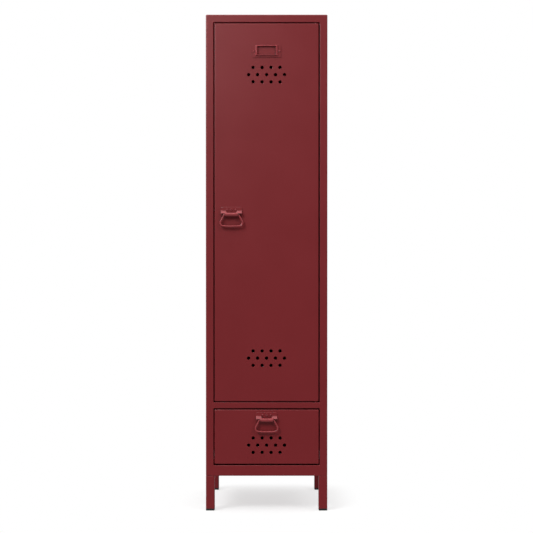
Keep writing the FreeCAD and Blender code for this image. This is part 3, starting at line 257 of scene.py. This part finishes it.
place = ground.node("TexCoord", output="Object")
folded = ground.node("VectorMath", {"operation": "ABSOLUTE"}, {0: place})
outside = ground.node("VectorMath", {"operation": "SUBTRACT"}, {0: folded, 1: FOOTPRINT})
outside = ground.node("VectorMath", {"operation": "MAXIMUM"}, {0: outside, 1: ORIGIN})
reach = ground.node("VectorMath", {"operation": "LENGTH"}, {0: outside}, output="Value")
faded = ground.node("MixShader", inputs={0: reach.smooth(0.0, FADE), 1: lifted, 2: bright})
ground.node("OutputMaterial", inputs={"Surface": faded})
floor_mesh.materials.append(pale)
print("floor fades to white within", FADE, "m of the locker")

# %% [markdown]
# Every finish below starts the same way: an empty material, a Principled surface and a few noises
# that are read at the object's own coordinates, so a pattern keeps its real size on a long door
# and on a small screw. Four helpers hold that start, and the finishes themselves stay short.

# %% Start of every finish
def new_finish(name):
    """An empty material with a Principled surface: the material, its tree, the object's own
    coordinates and the sockets of the surface."""
    finish = bpy.data.materials.new(name)
    finish.use_nodes = True
    finish.node_tree.nodes.clear()
    start = Shade(finish.node_tree)
    surface = finish.node_tree.nodes.new("ShaderNodeBsdfPrincipled")
    start.node("OutputMaterial", inputs={"Surface": Shade(finish.node_tree, surface.outputs[0])})
    place = start.node("TexCoord", output="Object")
    return finish, start, place, surface.inputs


def noise(start, place, scale, detail=2.0, rough=0.5):
    inputs = {"Vector": place, "Scale": scale, "Detail": detail, "Roughness": rough}
    return start.node("TexNoise", inputs=inputs)


def mix_colour(start, factor, first, second):
    settings = {"data_type": "RGBA", "blend_type": "MIX"}
    return start.node("Mix", settings, {0: factor, 6: first, 7: second}, output=2)


def relief(start, height, strength, depth, **normal):
    """A Bump of a height. A normal that is bent already can be handed on as Normal."""
    inputs = {"Strength": strength, "Distance": depth, "Height": height, **normal}
    return start.node("Bump", inputs=inputs)


print("finish helpers ready")

# %% [markdown]
# A baked coat pulls thin over folded edges, and there the colour is lightened further as a painted
# highlight. Inner corners are darkened as painted shade. Both places could be painted sheet by
# sheet, but nodes find them on every sheet at once. The Bevel node gives a rounded normal, which
# differs from the true one only near an edge, and Ambient Occlusion measures how shut in a spot is.

# %% Edges and corners of a sheet
EDGE_SAMPLES = 6
THIN_RADIUS = 0.0022
EDGE_TURN = (0.01, 0.20)
CORNER_SAMPLES = 8
CORNER_REACH = 0.010
CORNER_OPEN = (0.25, 0.85)


def rounded(start, radius):
    return start.node("Bevel", {"samples": EDGE_SAMPLES}, {"Radius": radius})


def near_edge(start):
    """1 on a folded edge, 0 on a flat face."""
    normals = {0: rounded(start, THIN_RADIUS), 1: start.node("NewGeometry", output="Normal")}
    match = start.node("VectorMath", {"operation": "DOT_PRODUCT"}, normals, output="Value")
    return (1.0 - match).smooth(*EDGE_TURN)


# This mask puts painted shade into inner corners: a darker colour where shade falls.
def corner_shade_mask(start):
    """1 deep in an inner corner, 0 on an open face."""
    settings = {"samples": CORNER_SAMPLES}
    open_side = start.node("AmbientOcclusion", settings, {"Distance": CORNER_REACH}, output="AO")
    return 1.0 - open_side.smooth(*CORNER_OPEN)


print("edges within", THIN_RADIUS, "m, corners within", CORNER_REACH, "m")

# %% [markdown]
# Powder coat is sprayed as dry powder and baked, and it flows into a skin with a faint orange-peel
# ripple about a millimetre across. It is satin, not glossy. The colour could be one flat value,
# but a real skin is a little thicker and darker in some places than others, and a little lighter
# and smoother where it pulls thin on edges. On top of that, edges get a painted highlight, inner
# corners get painted shade, and the handles and the card holder get a paler colour on what stands
# proud of the door, a painted highlight that grows with the distance from the front face.

# %% Wine red powder coat
PAINT_DEEP = (0.178, 0.0076, 0.0111, 1.0)
PAINT_FULL = (0.190, 0.0084, 0.0123, 1.0)
# The lighter edge colour is partly a real thin coat and partly a painted highlight.
PAINT_THIN_AND_HIGHLIGHT = (0.300, 0.0280, 0.0330, 1.0)
# Painted shade: the colour that inner corners are darkened to.
PAINTED_CORNER_SHADE = (0.070, 0.0025, 0.0038, 1.0)
# Painted highlight: the paler colour given to what stands proud of the door.
PAINT_PROUD_HIGHLIGHT = (0.290, 0.0360, 0.0425, 1.0)
EDGE_RADIUS = 0.0006
CLOUD_RANGE = (0.3, 0.7)
FLECK_SHARE = 0.3
SATIN = 0.40
SATIN_SPECULAR = 0.32
CLOUD_DULL = 0.08
PEEL_DULL = 0.06
EDGE_GLOSS = 0.08
PROUD_GLOSS = 0.10


def powder_coat(name, edge_thin_and_highlight, highlight_start=None, highlight_end=None):
    """Baked coat, lighter along edges by the given share, partly thin coat and partly painted
    highlight. With a start and end distance, what stands that far proud of the door is made paler
    as a painted highlight."""
    finish, start, place, sockets = new_finish(name)
    cloud = noise(start, place, scale=7.0, detail=3.0)
    peel = noise(start, place, scale=850.0, rough=0.45)
    fleck = noise(start, place, scale=2600.0, detail=1.0)
    edge = near_edge(start)
    uneven = cloud.smooth(*CLOUD_RANGE) * (1.0 - FLECK_SHARE) + fleck * FLECK_SHARE
    skin = mix_colour(start, uneven, PAINT_DEEP, PAINT_FULL)
    # Lighter along edges: thin coat and painted highlight together.
    skin = mix_colour(start, edge * edge_thin_and_highlight, skin, PAINT_THIN_AND_HIGHLIGHT)
    roughness = SATIN + CLOUD_DULL * cloud + PEEL_DULL * peel - EDGE_GLOSS * edge
    if highlight_end:
        # Painted highlight: what stands proud of the door is made paler and a little glossier.
        depth = start.node("SeparateXYZ", inputs={0: place}, output="Y")
        proud_highlight = (front_face - depth).smooth(highlight_start, highlight_end)
        skin = mix_colour(start, proud_highlight, skin, PAINT_PROUD_HIGHLIGHT)
        roughness = roughness - PROUD_GLOSS * proud_highlight
    # Painted shade: inner corners are darkened towards the corner colour.
    skin = mix_colour(start, corner_shade_mask(start), skin, PAINTED_CORNER_SHADE)
    ripple = relief(start, peel, strength=0.10, depth=0.0003, Normal=rounded(start, EDGE_RADIUS))
    start.feed(sockets["Base Color"], skin)
    start.feed(sockets["Roughness"], roughness)
    start.feed(sockets["Normal"], ripple)
    sockets["Specular IOR Level"].default_value = SATIN_SPECULAR
    return finish


wine_red = powder_coat("wine_red_powder_coat", edge_thin_and_highlight=0.6)
handle_red = powder_coat("wine_red_handle_coat", edge_thin_and_highlight=0.2, highlight_start=0.0016, highlight_end=0.0055)
card_red = powder_coat("wine_red_card_holder_coat", edge_thin_and_highlight=0.1, highlight_start=0.0013, highlight_end=0.0033)
for coat in (wine_red, handle_red, card_red):
    print(coat.name, len(coat.node_tree.nodes), "nodes")

# %% [markdown]
# Screws, runners, axles and the strike plate are zinc plated: a bluish grey metal with a dull,
# cloudy shine and fine rolling lines along the strip. Two noises do it, one broad for the clouds
# and one drawn out long for the lines.

# %% Zinc plate
ZINC_COOL = (0.50, 0.53, 0.57, 1.0)
ZINC_WARM = (0.66, 0.65, 0.62, 1.0)
ZINC_CLOUDS = (0.35, 0.65)
ZINC_SHINE = 0.26
ZINC_CLOUD_DULL = 0.18
ZINC_LINE_DULL = 0.10
ROLLED_ALONG = (1.0, 0.03, 1.0)


def zinc_plate(name):
    finish, start, place, sockets = new_finish(name)
    cloud = noise(start, place, scale=60.0, detail=3.0)
    drawn = start.node("Mapping", inputs={"Vector": place, "Scale": ROLLED_ALONG})
    lines = noise(start, drawn, scale=2200.0)
    colour = mix_colour(start, cloud.smooth(*ZINC_CLOUDS), ZINC_COOL, ZINC_WARM)
    roughness = ZINC_SHINE + ZINC_CLOUD_DULL * cloud + ZINC_LINE_DULL * lines
    start.feed(sockets["Base Color"], colour)
    start.feed(sockets["Roughness"], roughness)
    start.feed(sockets["Normal"], relief(start, lines, strength=0.12, depth=0.0001))
    sockets["Metallic"].default_value = 1.0
    return finish


zinc = zinc_plate("zinc_plate")
print(zinc.name, len(zinc.node_tree.nodes), "nodes")

# %% [markdown]
# The foot caps and the catch case are moulded black plastic, with the fine spark-eroded grain of a
# mould, and the door bumpers are rubber, which is duller and a little dusty. The two share a
# recipe: grain in the bump and a worn, paler bloom where the grain is high.

# %% Black plastic and rubber
BLOOM_RANGE = (0.2, 0.5)
BLACK_BLUE = 1.05
DUST_BLUE = 0.97
PIT_DULL = 0.12


def moulded_black(name, tone, dust, roughness, grain):
    """A black with a grain of the given noise scale. Tone and dust are its two grey levels."""
    finish, start, place, sockets = new_finish(name)
    pits = noise(start, place, grain, detail=3.0, rough=0.6)
    cloud = noise(start, place, scale=45.0)
    bloom = (pits * cloud).smooth(*BLOOM_RANGE)
    dark = (tone, tone, tone * BLACK_BLUE, 1.0)
    pale_dust = (dust, dust, dust * DUST_BLUE, 1.0)
    start.feed(sockets["Base Color"], mix_colour(start, bloom, dark, pale_dust))
    start.feed(sockets["Roughness"], roughness + PIT_DULL * pits)
    start.feed(sockets["Normal"], relief(start, pits, strength=0.25, depth=0.0002))
    return finish


black_plastic = moulded_black(
    "black_plastic_caps", tone=0.0025, dust=0.006, roughness=0.55, grain=1500.0)
black_rubber = moulded_black(
    "black_rubber_pads", tone=0.018, dust=0.045, roughness=0.72, grain=2400.0)
print(black_plastic.name, black_rubber.name)

# %% [markdown]
# The rollers are white nylon. It is cloudy rather than pure white, lets a little light in under
# its surface, and a roller soon picks up grey patches from its track.

# %% Nylon rollers
NYLON_CLEAN = (0.80, 0.79, 0.74, 1.0)
NYLON_GREY = (0.55, 0.54, 0.51, 1.0)
WORN_RANGE = (0.22, 0.42)
NYLON_SHINE = 0.34
GRIME_DULL = 0.16
UNDER_SURFACE = 0.15
LIGHT_REACH = (0.001, 0.001, 0.0008)


def nylon(name):
    finish, start, place, sockets = new_finish(name)
    cloud = noise(start, place, scale=220.0, detail=3.0)
    grime = noise(start, place, scale=900.0)
    worn = (cloud * grime).smooth(*WORN_RANGE)
    start.feed(sockets["Base Color"], mix_colour(start, worn, NYLON_CLEAN, NYLON_GREY))
    start.feed(sockets["Roughness"], NYLON_SHINE + GRIME_DULL * grime)
    start.feed(sockets["Normal"], relief(start, grime, strength=0.08, depth=0.0002))
    sockets["Subsurface Weight"].default_value = UNDER_SURFACE
    sockets["Subsurface Radius"].default_value = LIGHT_REACH
    return finish


white_nylon = nylon("white_nylon_rollers")
print(white_nylon.name)

# %% [markdown]
# The magnet of the catch is sintered ferrite, charcoal grey with tiny bright grains. A noise would
# blur them, so a Voronoi texture sets one grain in each of its cells.

# %% Ferrite magnet
FERRITE_DARK = (0.045, 0.046, 0.050, 1.0)
FERRITE_GLINT = (0.12, 0.12, 0.13, 1.0)
GLINT_RANGE = (0.75, 0.95)
FERRITE_DULL = 0.75
GLINT_GLOSS = 0.25
GRAINS_PER_METRE = 1800.0


def ferrite(name):
    finish, start, place, sockets = new_finish(name)
    cells = {"Vector": place, "Scale": GRAINS_PER_METRE}
    grain = start.node("TexVoronoi", inputs=cells, output="Distance")
    glint = (1.0 - grain).smooth(*GLINT_RANGE)
    start.feed(sockets["Base Color"], mix_colour(start, glint, FERRITE_DARK, FERRITE_GLINT))
    start.feed(sockets["Roughness"], FERRITE_DULL - GLINT_GLOSS * glint)
    start.feed(sockets["Normal"], relief(start, grain, strength=0.3, depth=0.0002))
    return finish


magnet_grey = ferrite("ferrite_magnet")
print(magnet_grey.name)

# %% [markdown]
# The hanging rail is chromed tube, a mirror with hair scratches that run along it where hooks have
# slid. A noise that is drawn out along the tube gives the hairs, and only its crests show.

# %% Chromed rail
CHROME = (0.77, 0.77, 0.78, 1.0)
CHROME_WORN = (0.62, 0.62, 0.63, 1.0)
ALONG_RAIL = (0.02, 1.0, 1.0)
SCRATCH_RANGE = (0.60, 0.72)
CHROME_SHINE = 0.07
SCRATCH_DULL = 0.20


def chromed_tube(name):
    finish, start, place, sockets = new_finish(name)
    drawn = start.node("Mapping", inputs={"Vector": place, "Scale": ALONG_RAIL})
    scratch = noise(start, drawn, scale=1800.0, detail=3.0).smooth(*SCRATCH_RANGE)
    start.feed(sockets["Base Color"], mix_colour(start, scratch, CHROME, CHROME_WORN))
    start.feed(sockets["Roughness"], CHROME_SHINE + SCRATCH_DULL * scratch)
    start.feed(sockets["Normal"], relief(start, scratch, strength=0.05, depth=0.0001))
    sockets["Metallic"].default_value = 1.0
    return finish


bright_tube = chromed_tube("chromed_rail")
print(bright_tube.name)

# %% [markdown]
# The record says which slot every sheet and fastener belongs to, so the finishes can be dealt out
# by slot instead of by name, and a piece that is added later gets its finish without a new line
# here. Only the handles and the card holder, whose proud parts get a painted highlight, are picked
# by name.

# %% Deal out the finishes
FINISHES = {
    "wine_red_paint": wine_red,
    "zinc_steel": zinc,
    "black_plastic": black_plastic,
    "white_nylon": white_nylon,
    "black_rubber": black_rubber,
    "magnet_ferrite": magnet_grey,
    "bright_rail": bright_tube,
}

# Handles and the card holder get the coats with a painted highlight on their proud parts.
highlighted_coats = {}
for name in frame["nodes"]:
    if "_handle_" in name or name.endswith("_bail"):
        highlighted_coats[name] = handle_red
    elif name.startswith("label_holder"):
        highlighted_coats[name] = card_red

for row in frame["record"]["subparts"]:
    piece = frame["nodes"][row["node"]]
    piece.data.materials.clear()
    piece.data.materials.append(highlighted_coats.get(row["node"], FINISHES[row["material_slot"]]))
